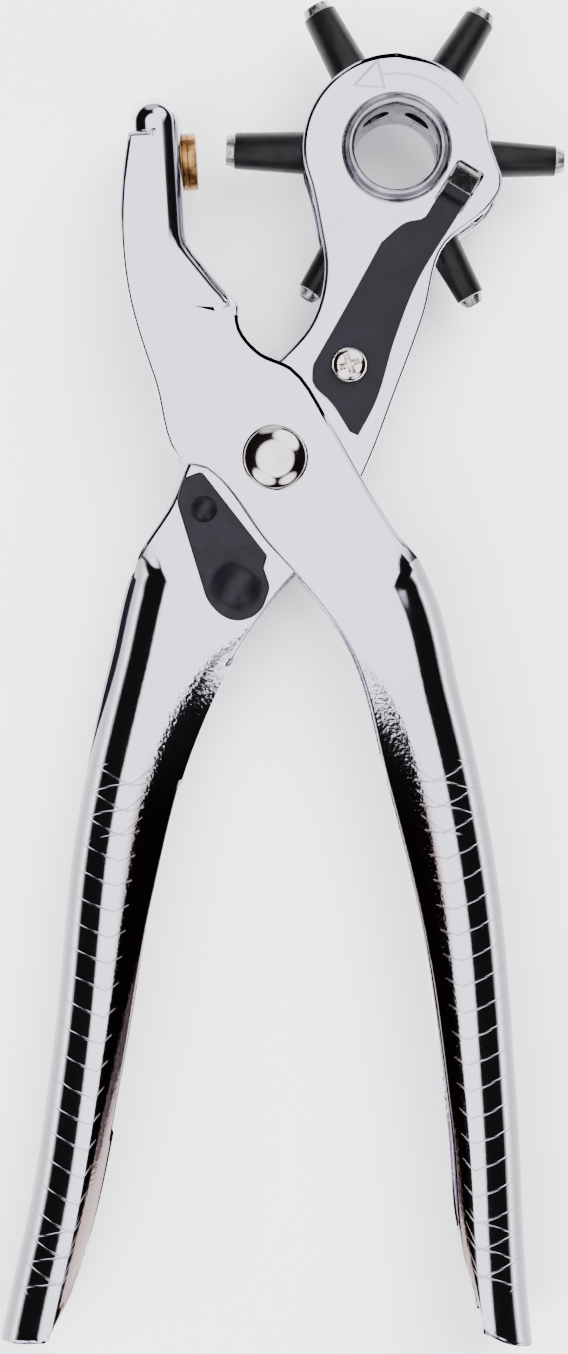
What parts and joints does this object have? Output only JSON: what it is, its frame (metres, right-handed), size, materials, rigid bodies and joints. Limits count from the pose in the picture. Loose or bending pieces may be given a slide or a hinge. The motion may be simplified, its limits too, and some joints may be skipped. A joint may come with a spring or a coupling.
{
  "type": "rotary hole punch",
  "caption": "Plier-type leather hole punch: pressed channel levers, a turning turret of hollow punch tubes, a brass anvil and a thumb latch.",
  "frame": {"origin": "centre of the open turret hub, half way through the tool's thickness", "axes": "+Z along the hub bore, out of the cheek with the latch and index spring; +Y along the tool, from the handles to the head"},
  "size_m": [0.095, 0.2265, 0.023],
  "materials": {
    "lever_chrome": "polished nickel-chrome plate on pressed steel sheet",
    "hub_steel": "turned steel, satin plated",
    "drum_steel": "turned steel, bright plated",
    "bright_fastener": "polished nickel plate",
    "black_oxide": "black oxide on turned steel, cutting edges ground bright",
    "blackened_steel": "blackened spring steel, soft sheen",
    "spring_steel": "drawn spring wire",
    "anvil_brass": "turned brass, slightly tarnished"
  },
  "bodies": {
    "punch_lever": {"punch_lever": "lever_chrome", "hub_bush_front": "hub_steel", "hub_bush_rear": "hub_steel", "index_spring": "blackened_steel", "index_screw": "bright_fastener", "index_bush": "drum_steel", "latch_rivet": "blackened_steel", "latch_washer": "spring_steel"},
    "anvil_lever": {"anvil_lever": "lever_chrome", "anvil": "anvil_brass", "pivot_rivet": "bright_fastener", "pivot_spacer": "drum_steel", "pivot_washer": "bright_fastener", "opening_spring": "spring_steel"},
    "turret": {"turret_drum": "drum_steel", "punch_tube_45": "black_oxide", "punch_tube_40": "black_oxide", "punch_tube_35": "black_oxide", "punch_tube_30": "black_oxide", "punch_tube_25": "black_oxide", "punch_tube_20": "black_oxide"},
    "latch": {"latch_plate": "blackened_steel"}
  },
  "joints": [
    {"name": "jaw_hinge", "type": "hinge", "parent": "punch_lever", "child": "anvil_lever", "pos_m": [-0.0202, -0.0517, 0], "axis": [0, 0, -1], "range_deg": [0, 5.3], "stiffness_Nm_per_rad": 2, "springref_deg": -20.05, "deforming": ["opening_spring"]},
    {"name": "turret_spin", "type": "hinge", "parent": "punch_lever", "child": "turret", "pos_m": [0, 0, 0], "axis": [0, 0, 1], "continuous": true, "deforming": ["index_spring"]},
    {"name": "latch_swing", "type": "hinge", "parent": "punch_lever", "child": "latch", "pos_m": [-0.032, -0.0602, 0.0072], "axis": [0, 0, -1], "range_deg": [0, 10]}
  ]
}
